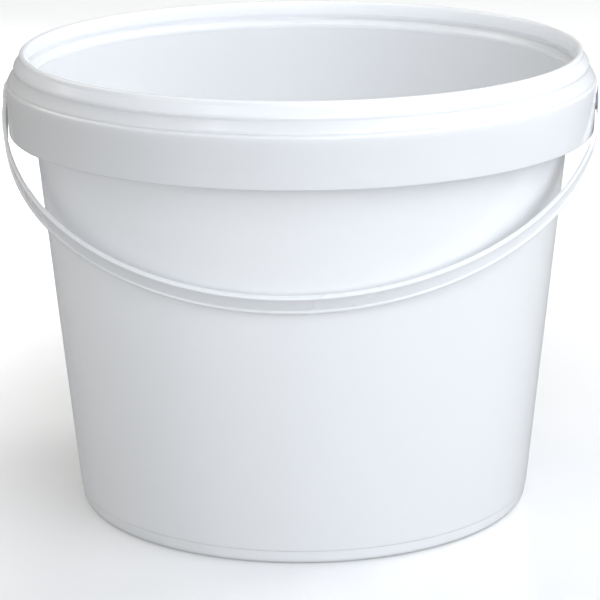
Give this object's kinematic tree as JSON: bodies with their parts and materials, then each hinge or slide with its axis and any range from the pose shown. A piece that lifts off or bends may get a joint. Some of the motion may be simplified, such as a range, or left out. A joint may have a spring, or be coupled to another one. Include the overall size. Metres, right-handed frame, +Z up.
{
  "type": "bucket",
  "caption": "Open round tapered plastic bucket with a deep collar under its rim and a swinging strap handle.",
  "frame": {"origin": "centre of the foot ring, on the surface the bucket stands on", "axes": "+Z up; the handle's pivot axis runs along X; -Y is the front, where the handle hangs"},
  "size_m": [0.2998, 0.294, 0.231],
  "materials": {
    "bucket_plastic": "white moulded polypropylene, satin gloss",
    "handle_plastic": "white moulded polypropylene, slightly duller than the bucket"
  },
  "bodies": {
    "bucket": {"bucket": "bucket_plastic"},
    "handle": {"handle": "handle_plastic"}
  },
  "joints": [
    {"name": "handle_swing", "type": "hinge", "parent": "bucket", "child": "handle", "pos_m": [0, 0, 0.204], "axis": [-1, 0, 0], "range_deg": [0, 235.8]}
  ]
}
